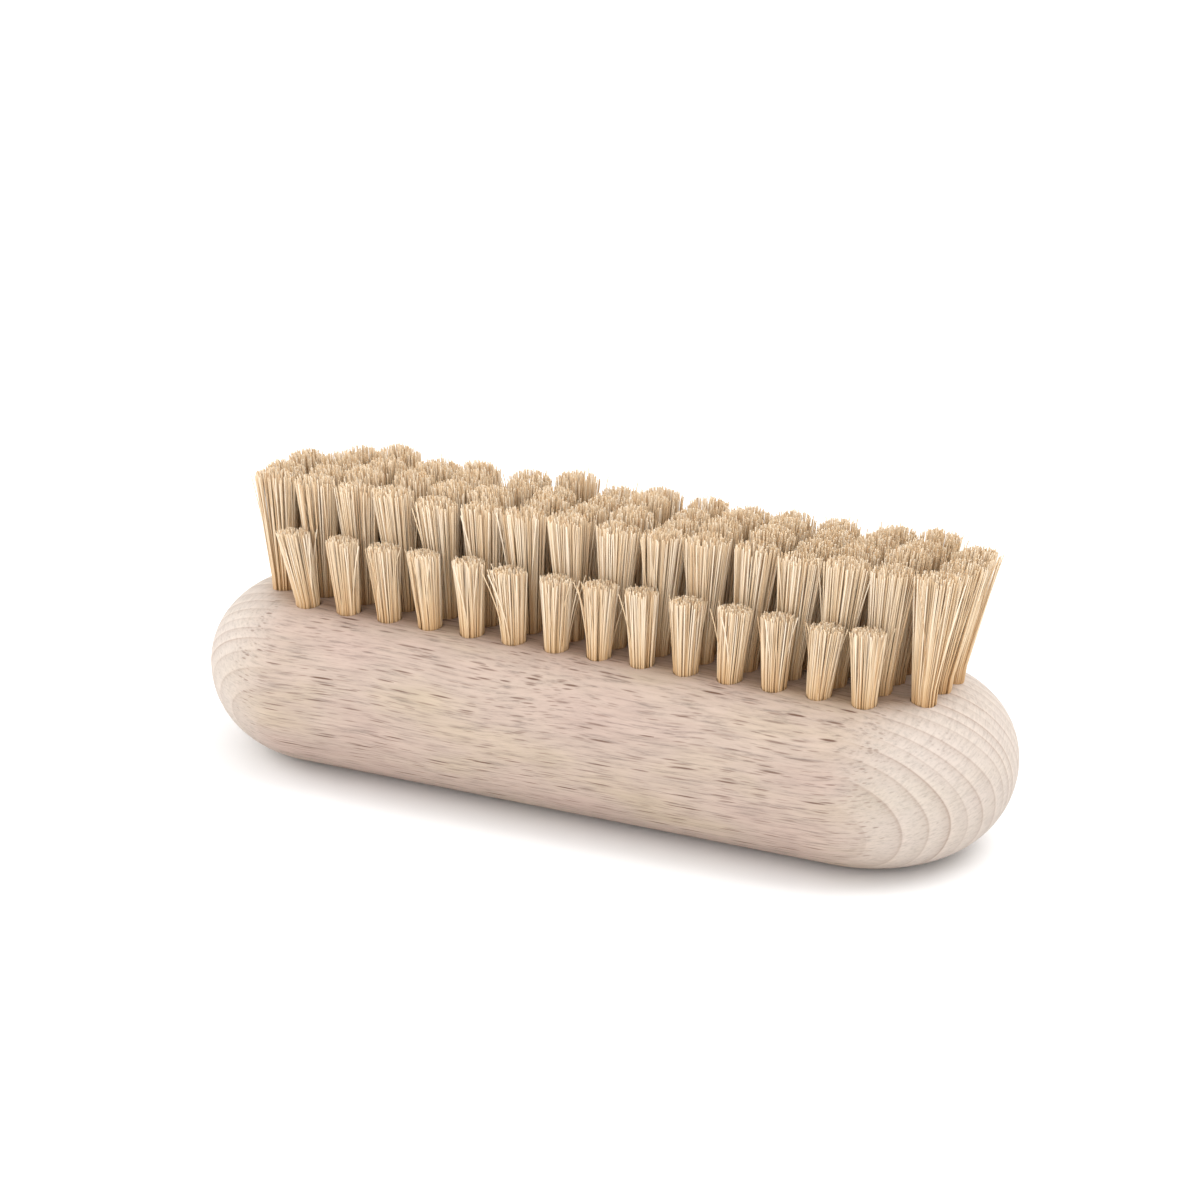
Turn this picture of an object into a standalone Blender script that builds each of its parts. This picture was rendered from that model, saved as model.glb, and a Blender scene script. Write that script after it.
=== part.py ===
"""A clothes brush: a round-edged beech block, drilled for five straight rows of bristle tufts.

The block lies with its length along X and its underside on z = 0. The row along the front edge is
trimmed short and the four behind it are tall. The front and rear rows have fewer tufts than the
three between them, because the block is rounded at its ends. Every tuft is folded over a flat wire
anchor that is pressed across the bottom of its hole and bites into the wood at both ends.
"""

import math

import bmesh
import bpy

MM = 0.001

# Block
LENGTH = 130 * MM
WIDTH = 42.4 * MM
HEIGHT = 25.2 * MM
TOP_ROUND = 12 * MM  # radius of the upper edge; the lower edge takes the rest of the height
EDGE_STEPS = 8  # facets down each rounded edge
END_STEPS = 16  # facets round each end

# Layout of the holes
PITCH = 7.03 * MM  # from hole to hole along a row
ROW_SPACING = 4.88 * MM
COLUMNS = 16
DRILLING_SHIFT = 0.8 * MM  # the holes sit off the middle of the block, towards +X
OUTER_ROW_INSET = 1  # columns left out at each end of the front and rear rows
HOLE_DIAMETER = 3.8 * MM
HOLE_DEPTH = 12 * MM
ROUND_SIDES = 10  # facets round a hole or a tuft

# Bristles
TALL_LENGTH = 18.8 * MM  # above the wood
SHORT_LENGTH = 11.7 * MM
SHORT_TIP_WIDTH = 5.5 * MM  # along the row
TALL_TIP_GAP = 0.7 * MM  # between neighbours in a row, at the tips
TIP_MERGE = 0.4 * MM  # overlap of the rear tufts' tips from row to row
END_LEAN = math.radians(6)  # of the tufts nearest the ends

# Wire anchors
ANCHOR_THICKNESS = 0.4 * MM
ANCHOR_HEIGHT = 2.2 * MM
ANCHOR_BITE = 0.5 * MM  # into the wood past the wall of the hole, at each end

CLEARANCE = 0.3 * MM  # between pieces that touch on the real brush
CUT_MARGIN = 2 * MM  # how far a drill stands out of the wood

BOTTOM_ROUND = HEIGHT - TOP_ROUND
FOOT_RADIUS = HOLE_DIAMETER / 2 - CLEARANCE
FOOT_DEPTH = HOLE_DEPTH - CLEARANCE
SHORT_ROW, TALL_ROW, *REAR_ROWS = [ROW_SPACING * row for row in (-2, -1, 0, 1, 2)]
OUTER_ROWS = (SHORT_ROW, REAR_ROWS[-1])
COLUMN_XS = [DRILLING_SHIFT + PITCH * (column - (COLUMNS - 1) / 2) for column in range(COLUMNS)]

# Half widths of the tips, across the rows
REAR_TIP_DEPTH = (ROW_SPACING + TIP_MERGE) / 2
TALL_TIP_DEPTH = ROW_SPACING - REAR_TIP_DEPTH - CLEARANCE
TALL_DEPTH_BY_SHORT_TIP = FOOT_RADIUS + (TALL_TIP_DEPTH - FOOT_RADIUS) * SHORT_LENGTH / TALL_LENGTH
SHORT_TIP_DEPTH = ROW_SPACING - TALL_DEPTH_BY_SHORT_TIP - CLEARANCE


def row_xs(y):
    """The X positions of the holes in the row at y."""
    if y in OUTER_ROWS:
        return COLUMN_XS[OUTER_ROW_INSET : COLUMNS - OUTER_ROW_INSET]
    return COLUMN_XS


def top_height(x, y):
    """How high the wood is at x, y."""
    past_end = max(0, abs(x) - (LENGTH - WIDTH) / 2)
    over_edge = math.hypot(past_end, y) - (WIDTH / 2 - TOP_ROUND)
    return BOTTOM_ROUND + math.sqrt(TOP_ROUND**2 - min(max(over_edge, 0), TOP_ROUND) ** 2)


def stadium(inset, z):
    """The block's outline, drawn in by inset, at height z."""
    radius = WIDTH / 2 - inset
    points = []
    for end in (1, -1):
        for step in range(END_STEPS + 1):
            angle = math.pi * (step / END_STEPS - 0.5)
            x = (LENGTH - WIDTH) / 2 + radius * math.cos(angle)
            points.append((end * x, end * radius * math.sin(angle), z))
    return points


def ellipse(centre, half_x, half_y):
    """A round outline with a point at each end of Y, so that neighbouring rows meet at points."""
    points = []
    for step in range(ROUND_SIDES):
        angle = math.pi / 2 + 2 * math.pi * step / ROUND_SIDES
        x = centre[0] + half_x * math.cos(angle)
        y = centre[1] + half_y * math.sin(angle)
        points.append((x, y, centre[2]))
    return points


def add_loft(bm, outlines):
    """A closed solid through outlines that are stacked upwards and run anticlockwise."""
    loops = [[bm.verts.new(point) for point in outline] for outline in outlines]
    for lower, upper in zip(loops, loops[1:]):
        for index in range(len(lower)):
            bm.faces.new((lower[index - 1], lower[index], upper[index], upper[index - 1]))
    bm.faces.new(reversed(loops[0]))
    bm.faces.new(loops[-1])


def add_tuft(bm, x, y, length, tip):
    """Bristles from the bottom of the hole at x, y, straight up to the wood and then spreading."""
    base = top_height(x, y)
    lean = math.tan(END_LEAN) * (x - DRILLING_SHIFT) / (COLUMN_XS[-1] - DRILLING_SHIFT)
    add_loft(
        bm,
        (
            ellipse((x, y, base - FOOT_DEPTH), FOOT_RADIUS, FOOT_RADIUS),
            ellipse((x, y, base), FOOT_RADIUS, FOOT_RADIUS),
            ellipse((x + lean * length, y, base + length), *tip),
        ),
    )


def add_drill(bm, x, y):
    """The hole for the tuft at x, y."""
    bottom = top_height(x, y) - HOLE_DEPTH
    radius = HOLE_DIAMETER / 2
    add_loft(bm, [ellipse((x, y, z), radius, radius) for z in (bottom, HEIGHT + CUT_MARGIN)])


def add_anchor(bm, x, y, clearance):
    """The flat wire across the foot of the tuft at x, y, or with a clearance the slot it sits in."""
    half_length = HOLE_DIAMETER / 2 + ANCHOR_BITE + clearance
    half_thickness = ANCHOR_THICKNESS / 2 + clearance
    middle = top_height(x, y) - FOOT_DEPTH + ANCHOR_HEIGHT
    outlines = []
    for side in (-1, 1):
        z = middle + side * (ANCHOR_HEIGHT / 2 + clearance)
        corners = ((-1, -1), (1, -1), (1, 1), (-1, 1))
        outlines.append([(x + i * half_length, y + j * half_thickness, z) for i, j in corners])
    add_loft(bm, outlines)


def material(name, colour, roughness, metallic=0.0):
    made = bpy.data.materials.new(name)
    made.use_nodes = True
    shader = made.node_tree.nodes["Principled BSDF"]
    shader.inputs["Base Color"].default_value = (*colour, 1)
    shader.inputs["Roughness"].default_value = roughness
    shader.inputs["Metallic"].default_value = metallic
    return made


def make_object(name, bm, finish=None):
    mesh = bpy.data.meshes.new(name)
    bm.to_mesh(mesh)
    bm.free()
    mesh.shade_smooth()
    mesh.set_sharp_from_angle(angle=math.radians(35))
    made = bpy.data.objects.new(name, mesh)
    bpy.context.scene.collection.objects.link(made)
    if finish:
        mesh.materials.append(finish)
    return made


def boolean(target, tool, operation):
    """Joins the tool to the target or cuts it away; the tool itself is only a helper."""
    tool.hide_render = True
    tool.display_type = "WIRE"
    modifier = target.modifiers.new(tool.name, "BOOLEAN")
    modifier.operation = operation
    modifier.object = tool


def build_block(finish):
    outlines = []
    for step in range(EDGE_STEPS):
        angle = math.pi / 2 * step / EDGE_STEPS
        inset = BOTTOM_ROUND * (1 - math.sin(angle))
        outlines.append(stadium(inset, BOTTOM_ROUND * (1 - math.cos(angle))))
    for step in range(EDGE_STEPS + 1):
        angle = math.pi / 2 * step / EDGE_STEPS
        inset = TOP_ROUND * (1 - math.cos(angle))
        outlines.append(stadium(inset, BOTTOM_ROUND + TOP_ROUND * math.sin(angle)))
    bm = bmesh.new()
    add_loft(bm, outlines)
    block = make_object("beech_block", bm, finish)

    drills = bmesh.new()
    slots = bmesh.new()
    for y in (SHORT_ROW, TALL_ROW, *REAR_ROWS):
        for x in row_xs(y):
            add_drill(drills, x, y)
            add_anchor(slots, x, y, CLEARANCE)
    boolean(block, make_object("drills", drills), "DIFFERENCE")
    boolean(block, make_object("anchor_slots", slots), "DIFFERENCE")


def build_tufts(name, x, rows, length, tip, finish):
    """One node: the tuft in the first of the rows, with the others behind it and their anchors."""
    first = bmesh.new()
    add_tuft(first, x, rows[0], length, tip)
    tuft = make_object(name, first, finish)
    for row, y in enumerate(rows[1:], 2):
        neighbour = bmesh.new()
        add_tuft(neighbour, x, y, length, tip)
        boolean(tuft, make_object(f"{name}_row_{row}", neighbour), "UNION")
    anchors = bmesh.new()
    for y in rows:
        add_anchor(anchors, x, y, 0)
    boolean(tuft, make_object(f"{name}_anchors", anchors), "UNION")


def build_brush():
    beech = material("beech", (0.79, 0.63, 0.50), 0.6)
    bristle = material("bristle", (0.70, 0.58, 0.38), 0.55)
    build_block(beech)

    short_tip = (SHORT_TIP_WIDTH / 2, SHORT_TIP_DEPTH)
    for number, x in enumerate(row_xs(SHORT_ROW), 1):
        build_tufts(f"short_tuft_{number:02}", x, (SHORT_ROW,), SHORT_LENGTH, short_tip, bristle)

    tall_width = (PITCH - TALL_TIP_GAP) / 2
    for number, x in enumerate(COLUMN_XS, 1):
        tip = (tall_width, TALL_TIP_DEPTH)
        build_tufts(f"tall_tuft_{number:02}", x, (TALL_ROW,), TALL_LENGTH, tip, bristle)
        rows = [y for y in REAR_ROWS if x in row_xs(y)]
        tip = (tall_width, REAR_TIP_DEPTH)
        build_tufts(f"rear_tufts_{number:02}", x, rows, TALL_LENGTH, tip, bristle)


for old in list(bpy.data.objects):
    bpy.data.objects.remove(old)
build_brush()
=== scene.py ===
"""The looks of a clothes brush: a sanded beech block and trimmed tufts of natural bristle."""

import math

import bmesh
import bpy
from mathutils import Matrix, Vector


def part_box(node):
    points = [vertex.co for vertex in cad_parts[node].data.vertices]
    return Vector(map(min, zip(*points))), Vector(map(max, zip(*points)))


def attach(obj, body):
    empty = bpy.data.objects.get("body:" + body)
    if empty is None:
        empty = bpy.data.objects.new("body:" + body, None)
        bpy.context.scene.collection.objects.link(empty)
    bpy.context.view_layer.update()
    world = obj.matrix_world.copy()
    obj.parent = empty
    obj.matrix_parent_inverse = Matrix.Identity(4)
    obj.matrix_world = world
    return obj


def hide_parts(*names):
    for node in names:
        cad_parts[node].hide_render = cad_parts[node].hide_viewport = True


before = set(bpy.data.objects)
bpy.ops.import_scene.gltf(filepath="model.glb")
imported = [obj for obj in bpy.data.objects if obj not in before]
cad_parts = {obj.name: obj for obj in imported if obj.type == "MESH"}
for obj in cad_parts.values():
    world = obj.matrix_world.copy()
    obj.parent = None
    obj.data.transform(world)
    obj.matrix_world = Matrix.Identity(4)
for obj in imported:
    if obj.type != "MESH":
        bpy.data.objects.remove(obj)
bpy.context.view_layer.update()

MM = 0.001

# ---------------------------------------------------------------- the brush, as the frame gives it

SHORT_NODES = sorted(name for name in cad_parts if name.startswith("short_tuft"))
TALL_NODES = sorted(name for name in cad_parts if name.startswith("tall_tuft"))
REAR_NODES = sorted(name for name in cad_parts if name.startswith("rear_tufts"))
BLOCK_LOW, BLOCK_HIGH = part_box("beech_block")
LENGTH = BLOCK_HIGH.x - BLOCK_LOW.x
WIDTH = BLOCK_HIGH.y - BLOCK_LOW.y
HEIGHT = BLOCK_HIGH.z
SHORT_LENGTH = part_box(SHORT_NODES[0])[1].z - HEIGHT
TALL_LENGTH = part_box(TALL_NODES[0])[1].z - HEIGHT
SHORT_ROW_Y = sum(corner.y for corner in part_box(SHORT_NODES[0])) / 2
TALL_ROW_Y = sum(corner.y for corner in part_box(TALL_NODES[0])) / 2
ROW_SPACING = TALL_ROW_Y - SHORT_ROW_Y

DRILLED = abs(SHORT_ROW_Y)  # how far from the middle the holes reach
TOP_ROUND = 12 * MM  # radius of the upper edge, as in the frame
HOLE_RADIUS = 1.9 * MM
HOLE_DEPTH = 12 * MM
FOOT_LEVEL = 0.2 * MM  # feet in one node differ in height by less than this

# The wood, in millimetres where it is a size.
GRAIN_TILT = (math.radians(-23), math.radians(1.5), math.radians(1))  # turns y along the rays
PITH = (0, -68, 14)
RING = 2.2
WOOD_BEIGE = "#BDAA95"
WOOD_MIDDLE = "#BCA89A"
WOOD_PINK = "#BBA498"
END_GRAIN = "#CAC1B8"
LATE_WOOD = "#8A6F5E"
EARLY_WOOD = "#E0CDBD"
# painted shade on the top between the tufts
SHADE_AMONG_TUFTS = "#DDC8B0"
SPINDLE = "#6A5042"
SPINDLES = (  # the grid a kind is scattered on, half its own size, and how few and how dark it is
    ((6.8, 0.75, 1.00), (2.9, 0.27, 0.16), 0.10, 1.20),
    ((4.8, 0.60, 0.70), (2.1, 0.22, 0.12), 0.10, 0.90),
    ((3.2, 0.45, 0.42), (1.5, 0.17, 0.08), 0.10, 0.60),
)

# The bristles from hair to hair, and painted shade on them from the wood up to the tip.
BRISTLE_SHADES = [(0.0, "#C9A67F"), (0.1, "#E2C6A0"), (0.6, "#EBD6B8"), (1.0, "#F4E5CF")]
# painted shade along each hair, from the wood (0) up to the cut tip (1)
BRISTLE_DEPTH_SHADE = [(0.0, "#CFAE84"), (0.25, "#EBDCC6"), (0.6, "#FAF6F0"), (0.9, "#FFFFFF")]


def feet(node):
    """The hole centres of a tuft node: the middles of its lowest faces, one for each row."""
    points = [vertex.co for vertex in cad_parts[node].data.vertices]
    lowest = min(point.z for point in points)
    rows = {}
    for point in points:
        if point.z < lowest + FOOT_LEVEL:
            rows.setdefault(round(point.y / ROW_SPACING), []).append(point)
    return [
        Vector([(min(p[axis] for p in row) + max(p[axis] for p in row)) / 2 for axis in (0, 1)])
        for row in rows.values()
    ]


# ---------------------------------------------------------------------------------- small helpers


def colour(hex_code):
    """An sRGB hex colour as linear RGBA."""
    channels = [int(hex_code[i : i + 2], 16) / 255 for i in (1, 3, 5)]
    linear = [c / 12.92 if c <= 0.04045 else ((c + 0.055) / 1.055) ** 2.4 for c in channels]
    return (*linear, 1)


def add(tree, kind, inputs=None, **settings):
    """Adds a node with its settings, and fills its inputs with links or plain values."""
    made = tree.nodes.new(kind)
    for key, value in settings.items():
        setattr(made, key, value)
    for key, value in (inputs or {}).items():
        if isinstance(value, bpy.types.NodeSocket):
            tree.links.new(value, made.inputs[key])
        else:
            made.inputs[key].default_value = value
    return made


def new_material(name):
    made = bpy.data.materials.new(name)
    made.use_nodes = True
    return made, made.node_tree, made.node_tree.nodes["Principled BSDF"]


def ramp(tree, fac, stops, interpolation="LINEAR"):
    """A colour ramp through (position, hex or grey) stops."""
    made = add(tree, "ShaderNodeValToRGB", {"Fac": fac})
    elements = made.color_ramp.elements
    made.color_ramp.interpolation = interpolation
    while len(elements) < len(stops):
        elements.new(0.5)
    for element, (position, value) in zip(elements, stops):
        element.position = position
        element.color = colour(value) if isinstance(value, str) else (value, value, value, 1)
    return made.outputs["Color"]


# -------------------------------------------------------------------------------------- materials


def beech_material():
    """Steamed beech, sanded and left raw: matt, between pale pink and beige, with dark spindles along
    the grain where the rays end at the surface, and growth rings that show as arcs on the ends."""
    made, tree, shader = new_material("beech_sanded")
    where = add(tree, "ShaderNodeTexCoord").outputs["Object"]

    def vector(operation, *values):
        made = add(tree, "ShaderNodeVectorMath", dict(enumerate(values)), operation=operation)
        return made.outputs["Value" if operation in ("DISTANCE", "LENGTH") else "Vector"]

    def maths(operation, *values):
        return add(tree, "ShaderNodeMath", dict(enumerate(values)), operation=operation).outputs[0]

    def noise(vector_in, detail, roughness=0.5):
        inputs = {"Vector": vector_in, "Scale": 1.0, "Detail": detail, "Roughness": roughness}
        return add(tree, "ShaderNodeTexNoise", inputs)

    def blend(kind, share, first, second):
        inputs = {"Fac": share, "Color1": first, "Color2": second}
        return add(tree, "ShaderNodeMixRGB", inputs, blend_type=kind).outputs[0]

    # The board was sawn a little off the grain, so the figure drops towards one end.
    grain = add(
        tree,
        "ShaderNodeMapping",
        {"Vector": where, "Rotation": GRAIN_TILT, "Scale": (1 / MM, 1 / MM, 1 / MM)},
    ).outputs["Vector"]  # from here on in millimetres
    sway = noise(vector("MULTIPLY", grain, (0.03, 0.05, 0.05)), 1.0).outputs["Color"]
    sway = vector("MULTIPLY", vector("SUBTRACT", sway, (0.5, 0.5, 0.5)), (0.0, 2.2, 2.2))
    grain = vector("ADD", grain, sway)

    # Growth rings round a pith in front of the block and below it: a thin dark line of late wood, and
    # the pale early wood of the next year beyond it. They show most where the ends cut across them.
    from_pith = vector("DISTANCE", vector("MULTIPLY", grain, (0, 1, 1)), PITH)
    uneven = noise(vector("MULTIPLY", grain, (0.008, 0.06, 0.03)), 1.0).outputs["Fac"]
    ring = maths("ADD", maths("DIVIDE", from_pith, RING), maths("MULTIPLY", uneven, 3.0))
    ring = maths("FRACT", ring)
    late = ramp(
        tree,
        ring,
        [(0.0, 0.25), (0.08, 0.0), (0.5, 0.18), (0.84, 0.55), (0.93, 1.0), (0.97, 0.9), (1.0, 0.25)],
    )
    early = ramp(tree, ring, [(0.0, 1.0), (0.2, 0.35), (0.5, 0.0), (0.97, 0.0), (1.0, 1.0)])
    half_length = add(tree, "ShaderNodeSeparateXYZ", {0: where}).outputs["X"]
    half_length = maths("ABSOLUTE", half_length)
    end = add(
        tree,
        "ShaderNodeMapRange",
        {"Value": half_length, "From Min": LENGTH / 2 - WIDTH / 2, "From Max": LENGTH / 2 - 8 * MM},
        interpolation_type="SMOOTHSTEP",
    ).outputs["Result"]

    # Large soft areas of pinker and yellower wood.
    patches = noise(vector("MULTIPLY", grain, (0.045, 0.11, 0.13)), 3.0).outputs["Fac"]
    wood = ramp(tree, patches, [(0.3, WOOD_BEIGE), (0.5, WOOD_MIDDLE), (0.7, WOOD_PINK)])
    clouds = noise(vector("MULTIPLY", grain, (0.16, 0.4, 0.45)), 3.0, 0.6).outputs["Fac"]
    wood = blend("MULTIPLY", 1.0, wood, ramp(tree, clouds, [(0.3, 0.88), (0.7, 1.0)]))

    # Fine streaks along the grain: vessels a tenth of a millimetre wide, drawn about three times as
    # wide so that they show.
    streaks = noise(vector("MULTIPLY", grain, (0.15, 1.5, 3.8)), 4.0, 0.7).outputs["Fac"]
    streak_shade = ramp(tree, streaks, [(0.3, 0.54), (0.46, 0.93), (0.60, 1.03)])
    mixed = blend("MULTIPLY", 1.0, wood, streak_shade)
    rays = noise(vector("MULTIPLY", grain, (1.2, 0.4, 3.4)), 3.0, 0.6).outputs["Fac"]
    rays = blend("MULTIPLY", 1.0, colour(END_GRAIN), ramp(tree, rays, [(0.34, 0.78), (0.52, 1.0)]))
    mixed = blend("MIX", maths("MULTIPLY", end, 0.65), mixed, rays)
    # Some years' rings are stronger than others.
    year = add(tree, "ShaderNodeCombineXYZ", {"X": from_pith}).outputs[0]
    year = noise(vector("MULTIPLY", year, (0.3, 0, 0)), 1.0).outputs["Fac"]
    year = ramp(tree, year, [(0.35, 0.35), (0.65, 1.0)])
    late = maths("MULTIPLY", late, year)
    early = maths("MULTIPLY", early, year)
    ring_share = maths("MULTIPLY", late, maths("ADD", 0.10, maths("MULTIPLY", end, 0.42)))
    mixed = blend("MIX", ring_share, mixed, colour(LATE_WOOD))
    pale_share = maths("MULTIPLY", early, maths("ADD", 0.03, maths("MULTIPLY", end, 0.18)))
    mixed = blend("MIX", pale_share, mixed, colour(EARLY_WOOD))

    # The top between the tufts, made a little darker: painted shade, where the tufts shade the wood
    # among them.
    at = add(tree, "ShaderNodeSeparateXYZ", {0: where}).outputs
    past = maths("MAXIMUM", maths("SUBTRACT", maths("ABSOLUTE", at["X"]), (LENGTH - WIDTH) / 2), 0.0)
    from_axis = add(tree, "ShaderNodeCombineXYZ", {"X": past, "Y": at["Y"]}).outputs[0]
    from_axis = vector("LENGTH", from_axis)
    # Where this shade is painted: over the rows of holes, fading out past the outer rows, on the top
    # only.
    drilled = add(
        tree,
        "ShaderNodeMapRange",
        {
            "Value": from_axis,
            "From Min": DRILLED + 3.5 * MM,
            "From Max": DRILLED - 1 * MM,
            "To Max": 0.6,
        },
        interpolation_type="SMOOTHSTEP",
    ).outputs["Result"]
    drilled = maths("MULTIPLY", drilled, maths("GREATER_THAN", at["Z"], HEIGHT - 2 * MM))
    mixed = blend("MULTIPLY", drilled, mixed, colour(SHADE_AMONG_TUFTS))

    # The spindles, from a jittered grid: each has its own chance of being there and its own depth.
    dashes = None
    for cell, half, least, most in SPINDLES:
        scaled = vector("MULTIPLY", grain, tuple(1 / side for side in cell))
        settings = {"Vector": scaled, "Scale": 1.0, "Randomness": 0.8}
        cells = add(tree, "ShaderNodeTexVoronoi", settings)
        offset = vector("SUBTRACT", scaled, cells.outputs["Position"])
        offset = vector("MULTIPLY", offset, tuple(side / reach for side, reach in zip(cell, half)))
        core = add(
            tree,
            "ShaderNodeMapRange",
            {"Value": vector("LENGTH", offset), "From Min": 1.0, "From Max": 0.35},
            interpolation_type="SMOOTHSTEP",
        ).outputs["Result"]
        chance = add(tree, "ShaderNodeSeparateColor", {"Color": cells.outputs["Color"]}).outputs[0]
        chance = add(
            tree, "ShaderNodeMapRange", {"Value": chance, "From Min": least, "To Max": most}
        ).outputs["Result"]
        dark = maths("MULTIPLY", core, chance)
        dashes = dark if dashes is None else maths("MAXIMUM", dashes, dark)
    dashes = maths("MULTIPLY", dashes, maths("SUBTRACT", 1.0, maths("MULTIPLY", end, 0.8)))
    mixed = blend("MIX", dashes, mixed, colour(SPINDLE))
    tree.links.new(mixed, shader.inputs["Base Color"])

    height = maths("SUBTRACT", streaks, dashes)
    bump = add(tree, "ShaderNodeBump", {"Height": height, "Strength": 0.3, "Distance": 0.1 * MM})
    tree.links.new(bump.outputs["Normal"], shader.inputs["Normal"])
    shader.inputs["Roughness"].default_value = 0.65
    shader.inputs["IOR"].default_value = 1.45
    return made


def bristle_material():
    """Bleached natural bristle: straw to cream from hair to hair, a little glossy along its length,
    and darkened and browned down in the tuft towards the wood: painted shade, where the hairs shade one
    another."""
    made, tree, shader = new_material("natural_bristle")
    shade = add(tree, "ShaderNodeAttribute", attribute_name="shade").outputs["Fac"]
    along = add(tree, "ShaderNodeAttribute", attribute_name="along").outputs["Fac"]
    hair = ramp(tree, shade, BRISTLE_SHADES)
    # Painted shade: the hair colour is darkened and browned from the tips down to the wood.
    deep_shade = ramp(tree, along, BRISTLE_DEPTH_SHADE)
    mixed = add(
        tree, "ShaderNodeMixRGB", {"Fac": 1.0, "Color1": hair, "Color2": deep_shade}, blend_type="MULTIPLY"
    ).outputs[0]
    tree.links.new(mixed, shader.inputs["Base Color"])
    shader.inputs["Roughness"].default_value = 0.5
    shader.inputs["IOR"].default_value = 1.5
    return made


def plain_material(name, hex_code, roughness):
    made, tree, shader = new_material(name)
    shader.inputs["Base Color"].default_value = colour(hex_code)
    shader.inputs["Roughness"].default_value = roughness
    return made


# ------------------------------------------------------------------------------------------ block

EDGE_STEPS = 20
END_STEPS = 40
HOLE_SIDES = 24
CUT_MARGIN = 2 * MM  # how far the drills stand out of the wood


def stadium(inset, z):
    """The block's outline, drawn in by inset, at height z."""
    radius = WIDTH / 2 - inset
    points = []
    for end in (1, -1):
        for step in range(END_STEPS + 1):
            angle = math.pi * (step / END_STEPS - 0.5)
            x = (LENGTH - WIDTH) / 2 + radius * math.cos(angle)
            points.append((end * x, end * radius * math.sin(angle), z))
    return points


def add_loft(bm, outlines):
    """A closed solid through outlines that are stacked upwards and run anticlockwise."""
    loops = [[bm.verts.new(point) for point in outline] for outline in outlines]
    for lower, upper in zip(loops, loops[1:]):
        for index in range(len(lower)):
            bm.faces.new((lower[index - 1], lower[index], upper[index], upper[index - 1]))
    bm.faces.new(reversed(loops[0]))
    bm.faces.new(loops[-1])


def mesh_object(name, bm, material=None):
    mesh = bpy.data.meshes.new(name)
    bm.to_mesh(mesh)
    bm.free()
    made = bpy.data.objects.new(name, mesh)
    bpy.context.scene.collection.objects.link(made)
    if material:
        mesh.materials.append(material)
    return made


def finished(source):
    """The evaluated object as a plain mesh, with its modifiers removed."""
    graph = bpy.context.evaluated_depsgraph_get()
    mesh = bpy.data.meshes.new_from_object(source.evaluated_get(graph))
    source.modifiers.clear()
    source.data = mesh
    mesh.name = source.name
    return source


def build_block(material, holes):
    bottom_round = HEIGHT - TOP_ROUND
    outlines = []
    for step in range(EDGE_STEPS):
        angle = math.pi / 2 * step / EDGE_STEPS
        inset = bottom_round * (1 - math.sin(angle))
        outlines.append(stadium(inset, bottom_round * (1 - math.cos(angle))))
    for step in range(EDGE_STEPS + 1):
        angle = math.pi / 2 * step / EDGE_STEPS
        inset = TOP_ROUND * (1 - math.cos(angle))
        outlines.append(stadium(inset, bottom_round + TOP_ROUND * math.sin(angle)))
    bm = bmesh.new()
    add_loft(bm, outlines)
    block = mesh_object("block_beech", bm, material)
    drills = bmesh.new()
    for hole in holes:
        circle = [
            (
                hole.x + HOLE_RADIUS * math.cos(2 * math.pi * step / HOLE_SIDES),
                hole.y + HOLE_RADIUS * math.sin(2 * math.pi * step / HOLE_SIDES),
            )
            for step in range(HOLE_SIDES)
        ]
        ends = (HEIGHT - HOLE_DEPTH, HEIGHT + CUT_MARGIN)
        add_loft(drills, [[(x, y, z) for x, y in circle] for z in ends])
    tool = mesh_object("drills", drills)
    cut = block.modifiers.new("drilled", "BOOLEAN")
    cut.operation = "DIFFERENCE"
    cut.object = tool
    finished(block)
    bpy.data.objects.remove(tool)
    block.data.shade_smooth()
    block.data.set_sharp_from_angle(angle=math.radians(35))
    return block


# --------------------------------------------------------------------------------------- bristles


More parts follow.
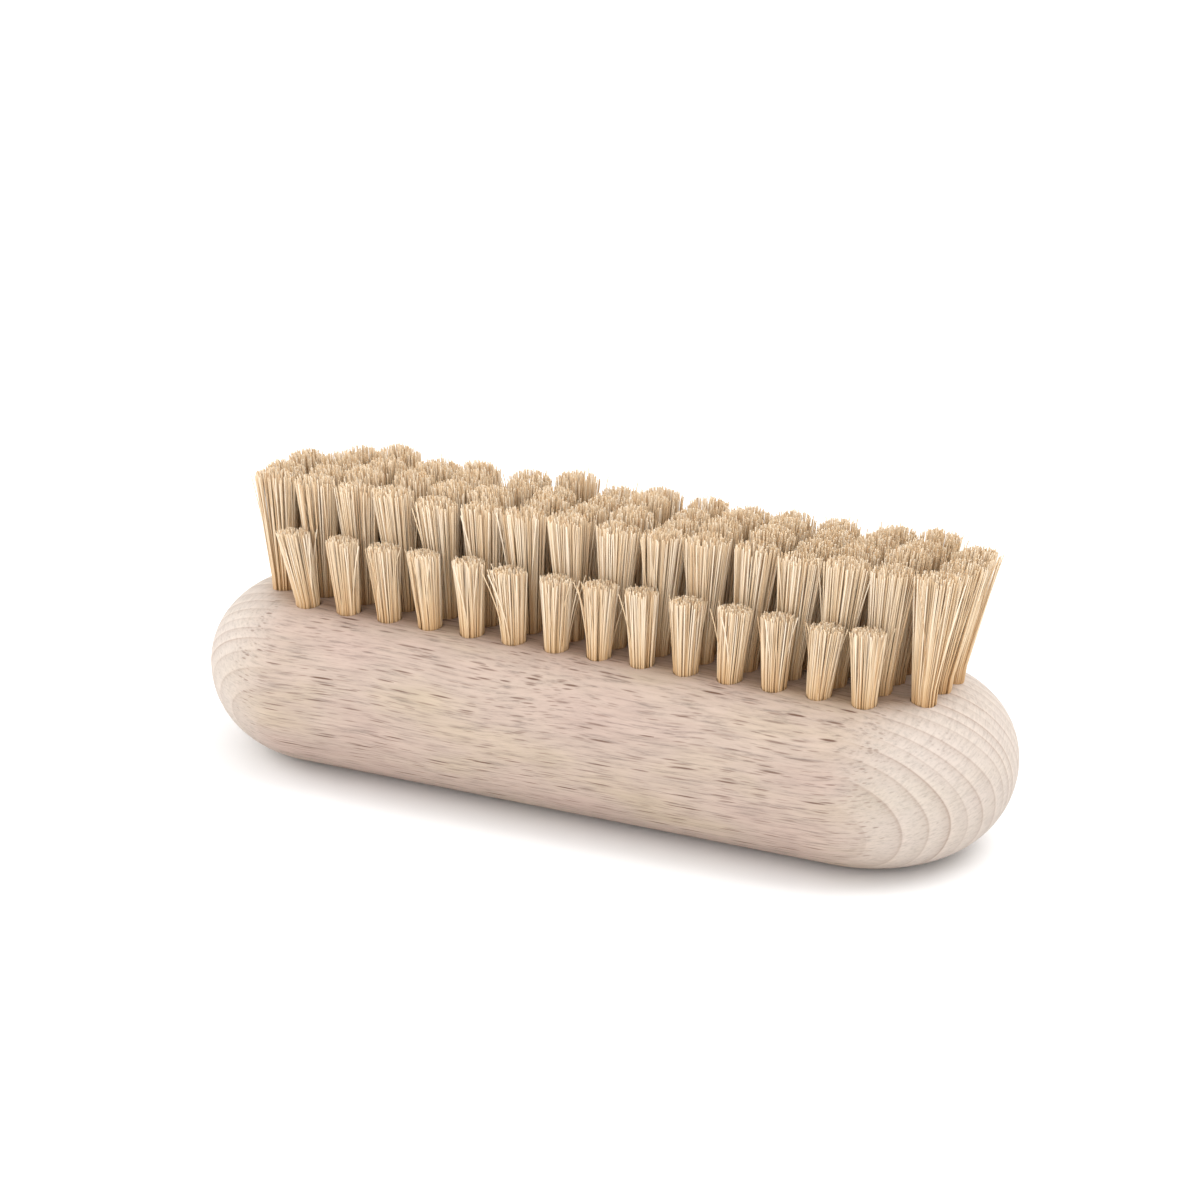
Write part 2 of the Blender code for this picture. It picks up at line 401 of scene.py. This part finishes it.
def bristle_tree(material):
    """Geometry nodes that grow a tuft of bristles from each vertex of the object's own mesh.

    End Lean and Lean Skew are slopes: at the two ends of a row the tufts lean outwards by their sum and
    by their difference. Dome is how much the rim of a tuft is cut lower than its middle.
    """
    tree = bpy.data.node_groups.new("grow_bristles", "GeometryNodeTree")
    face = tree.interface
    face.new_socket("Geometry", in_out="INPUT", socket_type="NodeSocketGeometry")
    face.new_socket("Geometry", in_out="OUTPUT", socket_type="NodeSocketGeometry")
    for name, kind in (
        ("Bristles", "NodeSocketInt"),
        ("Seed", "NodeSocketInt"),
        ("Length", "NodeSocketFloat"),
        ("Sunk", "NodeSocketFloat"),
        ("Root Radius", "NodeSocketFloat"),
        ("Tip Radii", "NodeSocketVector"),
        ("Thickness", "NodeSocketFloat"),
        ("End Lean", "NodeSocketFloat"),
        ("Lean Skew", "NodeSocketFloat"),
        ("Dome", "NodeSocketFloat"),
        ("Rise", "NodeSocketFloat"),
        ("Middle X", "NodeSocketFloat"),
        ("End X", "NodeSocketFloat"),
        ("Unevenness", "NodeSocketFloat"),
    ):
        face.new_socket(name, in_out="INPUT", socket_type=kind)
    given = add(tree, "NodeGroupInput").outputs

    def math_node(operation, *values):
        return add(tree, "ShaderNodeMath", dict(enumerate(values)), operation=operation).outputs[0]

    def vector(operation, *values):
        made = add(tree, "ShaderNodeVectorMath", dict(enumerate(values)), operation=operation)
        return made.outputs[0]

    def scaled(direction, factor):
        inputs = {0: direction, "Scale": factor}
        return add(tree, "ShaderNodeVectorMath", inputs, operation="SCALE").outputs[0]

    def random(low, high, seed, kind="FLOAT"):
        seed = math_node("ADD", given["Seed"], seed)
        made = add(tree, "FunctionNodeRandomValue", {"Seed": seed}, data_type=kind)
        made.inputs[0 if kind == "FLOAT_VECTOR" else 2].default_value = low
        made.inputs[1 if kind == "FLOAT_VECTOR" else 3].default_value = high
        return made.outputs[0 if kind == "FLOAT_VECTOR" else 1]

    def store(geometry, name, value, kind):
        return add(
            tree,
            "GeometryNodeStoreNamedAttribute",
            {"Geometry": geometry, "Name": name, "Value": value},
            data_type=kind,
            domain="POINT",
        ).outputs["Geometry"]

    def stored(name, kind):
        return add(tree, "GeometryNodeInputNamedAttribute", {"Name": name}, data_type=kind).outputs[0]

    # One point for each bristle, which remembers its hole, its place in the tuft and its own bend.
    points = add(
        tree,
        "GeometryNodeDuplicateElements",
        {"Geometry": given["Geometry"], "Amount": given["Bristles"]},
        domain="POINT",
    ).outputs["Geometry"]
    points = store(points, "hole", add(tree, "GeometryNodeInputPosition").outputs[0], "FLOAT_VECTOR")
    radius = math_node("POWER", random(0.0, 1.0, 1), 0.42)
    disc = add(
        tree,
        "ShaderNodeVectorRotate",
        {
            "Vector": add(tree, "ShaderNodeCombineXYZ", {"X": radius}).outputs[0],
            "Angle": random(0.0, 2 * math.pi, 2),
        },
        rotation_type="Z_AXIS",
    ).outputs[0]
    points = store(points, "disc", disc, "FLOAT_VECTOR")
    bend = random((-1, -1, 0), (1, 1, 0), 3, "FLOAT_VECTOR")
    points = store(points, "bend", bend, "FLOAT_VECTOR")
    points = store(points, "shade", random(0.0, 1.0, 4), "FLOAT")
    points = store(points, "trim", random(0.0, 1.0, 5), "FLOAT")
    points = store(points, "stray", random(0.0, 1.0, 6), "FLOAT")

    line = add(tree, "GeometryNodeCurvePrimitiveLine").outputs["Curve"]
    line = add(tree, "GeometryNodeResampleCurve", {"Curve": line, "Count": 6}).outputs["Curve"]
    hairs = add(
        tree, "GeometryNodeInstanceOnPoints", {"Points": points, "Instance": line}
    ).outputs["Instances"]
    hairs = add(tree, "GeometryNodeRealizeInstances", {"Geometry": hairs}).outputs["Geometry"]
    along = add(tree, "GeometryNodeSplineParameter").outputs["Factor"]
    hairs = store(hairs, "along", along, "FLOAT")

    hole = stored("hole", "FLOAT_VECTOR")
    tuft = add(
        tree,
        "ShaderNodeTexWhiteNoise",
        {"Vector": hole},
        noise_dimensions="3D",
    ).outputs["Color"]
    tuft = vector("SUBTRACT", tuft, (0.5, 0.5, 0.5))

    # Height above the wood, with the cut a little uneven from hair to hair.
    trim = math_node("POWER", stored("trim", "FLOAT"), 2.0)
    trim = math_node("MULTIPLY", trim, given["Unevenness"])
    disc = stored("disc", "FLOAT_VECTOR")
    rim = add(tree, "ShaderNodeVectorMath", {0: disc}, operation="LENGTH").outputs["Value"]
    rim = math_node("MULTIPLY", math_node("POWER", rim, 2.5), given["Dome"])
    clump = add(tree, "ShaderNodeSeparateXYZ", {0: tuft}).outputs["Z"]
    clump = math_node("MULTIPLY", clump, given["Dome"])
    full = math_node("SUBTRACT", given["Length"], math_node("ADD", trim, rim))
    full = math_node("ADD", full, clump)
    hole_x = add(tree, "ShaderNodeSeparateXYZ", {0: hole}).outputs["X"]
    along_row = math_node("DIVIDE", math_node("SUBTRACT", hole_x, given["Middle X"]), given["End X"])
    full = math_node("ADD", full, math_node("MULTIPLY", along_row, given["Rise"]))
    height = math_node("MULTIPLY", math_node("ADD", full, given["Sunk"]), along)
    height = math_node("SUBTRACT", height, given["Sunk"])
    share = math_node("MAXIMUM", math_node("DIVIDE", height, given["Length"]), 0.0)

    # The tuft opens from the hole to its tip, and leans with its place along the row.
    root = add(
        tree, "ShaderNodeCombineXYZ", {"X": given["Root Radius"], "Y": given["Root Radius"]}
    ).outputs[0]
    spread = add(
        tree,
        "ShaderNodeMix",
        {"Factor": math_node("POWER", share, 0.9)},
        data_type="VECTOR",
    )
    tree.links.new(root, spread.inputs[4])
    tree.links.new(given["Tip Radii"], spread.inputs[5])
    sideways = vector("MULTIPLY", disc, spread.outputs[1])
    lean = math_node("ADD", given["End Lean"], math_node("MULTIPLY", along_row, given["Lean Skew"]))
    lean = math_node("MULTIPLY", lean, along_row)
    lean = add(tree, "ShaderNodeCombineXYZ", {"X": lean}).outputs[0]
    lean = vector("ADD", lean, vector("MULTIPLY", tuft, (0.10, 0.07, 0.0)))
    sideways = vector("ADD", sideways, scaled(lean, math_node("MAXIMUM", height, 0.0)))

    # Each hair bows by itself, and a few stray out of the tuft.
    wild = math_node("POWER", stored("stray", "FLOAT"), 14.0)
    bow = math_node("ADD", 0.25 * MM, math_node("MULTIPLY", wild, 2.6 * MM))
    bow = math_node("MULTIPLY", bow, math_node("POWER", share, 1.7))
    sideways = vector("ADD", sideways, scaled(stored("bend", "FLOAT_VECTOR"), bow))
    place = vector("ADD", hole, sideways)
    place = vector("ADD", place, add(tree, "ShaderNodeCombineXYZ", {"Z": height}).outputs[0])
    hairs = add(
        tree, "GeometryNodeSetPosition", {"Geometry": hairs, "Position": place}
    ).outputs["Geometry"]

    taper = add(
        tree,
        "ShaderNodeMapRange",
        {"Value": along, "From Min": 0.3, "From Max": 1.0, "To Min": 1.0, "To Max": 0.68},
    ).outputs["Result"]
    size = math_node("ADD", 0.75, math_node("MULTIPLY", stored("shade", "FLOAT"), 0.5))
    size = math_node("MULTIPLY", size, math_node("MULTIPLY", given["Thickness"], 0.5))
    outline = add(
        tree, "GeometryNodeCurvePrimitiveCircle", {"Resolution": 4, "Radius": 1.0}
    ).outputs["Curve"]
    skin = add(
        tree,
        "GeometryNodeCurveToMesh",
        {
            "Curve": hairs,
            "Profile Curve": outline,
            "Scale": math_node("MULTIPLY", size, taper),
            "Fill Caps": True,
        },
    ).outputs["Mesh"]
    skin = add(tree, "GeometryNodeSetShadeSmooth", {"Geometry": skin}).outputs["Geometry"]
    skin = add(tree, "GeometryNodeRealizeInstances", {"Geometry": skin}).outputs["Geometry"]
    skin = add(
        tree, "GeometryNodeSetMaterial", {"Geometry": skin, "Material": material}
    ).outputs["Geometry"]
    add(tree, "NodeGroupOutput", {"Geometry": skin})
    return tree


def grow(name, tree, nodes, sizes):
    """A piece of bristle tufts that stand in the holes of these CAD nodes."""
    bm = bmesh.new()
    for node in nodes:
        for foot in feet(node):
            bm.verts.new((foot.x, foot.y, HEIGHT))
    piece = mesh_object(name, bm)
    grower = piece.modifiers.new("grow", "NODES")
    grower.node_group = tree
    identifiers = {
        item.name: item.identifier for item in tree.interface.items_tree if item.in_out == "INPUT"
    }
    for key, value in sizes.items():
        grower[identifiers[key]] = value
    finished(piece)
    for attribute in ("hole", "disc", "bend", "trim", "stray"):
        if attribute in piece.data.attributes:
            piece.data.attributes.remove(piece.data.attributes[attribute])
    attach(piece, "root")
    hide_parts(*nodes)
    return piece


# ---------------------------------------------------------------------------------- light and view


FLOOR_SIZE = 6
FLOOR_GAP = 0.05 * MM  # keeps the floor clear of the block's flat underside
ROOM_LIGHT = 1.2


def aim(thing, target):
    thing.rotation_euler = (Vector(target) - thing.location).to_track_quat("-Z", "Y").to_euler()


def softbox(name, place, target, size, power):
    light = bpy.data.lights.new(name, "AREA")
    light.shape = "DISK"
    light.size = size
    light.energy = power
    made = bpy.data.objects.new(name, light)
    made.location = place
    bpy.context.scene.collection.objects.link(made)
    aim(made, target)
    return made


def build_stage():
    bm = bmesh.new()
    bmesh.ops.create_grid(bm, x_segments=1, y_segments=1, size=FLOOR_SIZE)
    bmesh.ops.translate(bm, vec=(0, 0, -FLOOR_GAP), verts=bm.verts)
    floor = mesh_object("floor", bm, plain_material("white_sweep", "#F4F4F4", 0.9))
    world = bpy.data.worlds.new("white_room")
    world.use_nodes = True
    world.node_tree.nodes["Background"].inputs["Color"].default_value = (1, 1, 1, 1)
    world.node_tree.nodes["Background"].inputs["Strength"].default_value = ROOM_LIGHT
    bpy.context.scene.world = world
    softbox("key", (0.55, 0.3, 1.0), (0, 0, 0.02), 0.9, 6.5)
    softbox("left_fill", (-0.9, -0.1, 0.45), (0, 0, 0.02), 0.6, 3)
    softbox("front_fill", (-0.1, -1.1, 0.35), (0, 0, 0), 1.0, 2.6)
    bpy.context.scene.view_settings.view_transform = "Standard"


def build_camera():
    camera = bpy.data.cameras.new("camera")
    camera.lens = 124.6
    camera.sensor_width = 36
    camera.clip_start = 0.01
    made = bpy.data.objects.new("camera", camera)
    made.location = (262.5 * MM, -515.2 * MM, 238.0 * MM)
    bpy.context.scene.collection.objects.link(made)
    aim(made, (-3.1 * MM, 5.1 * MM, 27.8 * MM))
    bpy.context.scene.camera = made


# -------------------------------------------------------------------------------------------- make

beech = beech_material()
bristle = bristle_material()
holes = [foot for node in SHORT_NODES + TALL_NODES + REAR_NODES for foot in feet(node)]
block = build_block(beech, holes)
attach(block, "root")
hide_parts("beech_block")

first_x = min(hole.x for hole in holes)
last_x = max(hole.x for hole in holes)
grower = bristle_tree(bristle)
tall = {
    "Length": TALL_LENGTH + 0.4 * MM,
    "Tip Radii": (3.5 * MM, 2.8 * MM, 0),
    "Thickness": 0.24 * MM,
    "Sunk": 2 * MM,
    "Root Radius": 1.72 * MM,
    "End Lean": math.tan(math.radians(6.0)),
    "Lean Skew": -0.02,
    "Dome": 0.9 * MM,
    "Rise": 0.5 * MM,
    "Middle X": (first_x + last_x) / 2,
    "End X": (last_x - first_x) / 2,  # from the middle
    "Unevenness": 0.9 * MM,
    "Bristles": 230,
}
short = {
    **tall,
    "Length": SHORT_LENGTH - 0.4 * MM,
    "Rise": -0.4 * MM,
    "Tip Radii": (2.6 * MM, 2.2 * MM, 0),
    "Unevenness": 0.5 * MM,
    "End Lean": math.tan(math.radians(8.4)),
    "Lean Skew": -0.075,
    "Dome": 0.5 * MM,
}
rear = {
    **tall,
    "Length": TALL_LENGTH + 1.1 * MM,
    "End Lean": math.tan(math.radians(7.6)),
    "Lean Skew": 0.027,
    "Dome": 1.4 * MM,
}
grow("bristles_short_row", grower, SHORT_NODES, {**short, "Seed": 11})
grow("bristles_tall_row", grower, TALL_NODES, {**tall, "Seed": 23})
grow("bristles_rear_left", grower, REAR_NODES[:5], {**rear, "Seed": 37})
grow("bristles_rear_middle", grower, REAR_NODES[5:11], {**rear, "Seed": 41})
grow("bristles_rear_right", grower, REAR_NODES[11:], {**rear, "Seed": 53})

build_stage()
build_camera()
